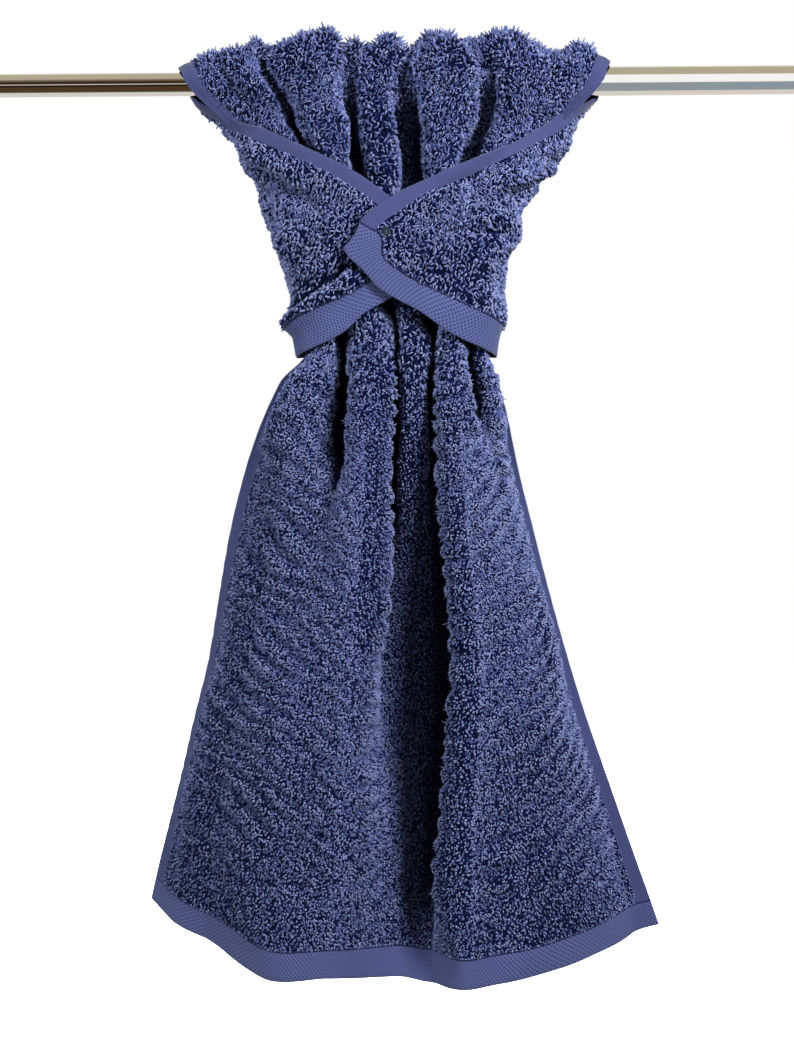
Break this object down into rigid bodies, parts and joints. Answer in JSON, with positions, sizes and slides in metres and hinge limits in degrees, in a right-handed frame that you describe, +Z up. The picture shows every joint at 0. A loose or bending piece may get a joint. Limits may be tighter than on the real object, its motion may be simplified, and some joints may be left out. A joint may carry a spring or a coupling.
{
  "type": "hand towel on a rod",
  "caption": "Terry hand towel hung over a round rod in deep pleats, its back half wrapped round to the front and held by a small press snap.",
  "frame": {"origin": "centre of the flat end face of the rod's thinner tube, at the left as the viewer sees it", "axes": "+X along the rod to the viewer's right, +Y away from the viewer, +Z up"},
  "size_m": [0.7, 0.1444, 0.7564],
  "materials": {
    "terry": "looped cotton pile, matt",
    "snap_cap": "smooth, glossy",
    "chrome": "polished"
  },
  "bodies": {
    "root": {"towel": "terry", "snap": "snap_cap", "rod_left": "chrome", "rod_right": "chrome"}
  },
  "joints": []
}
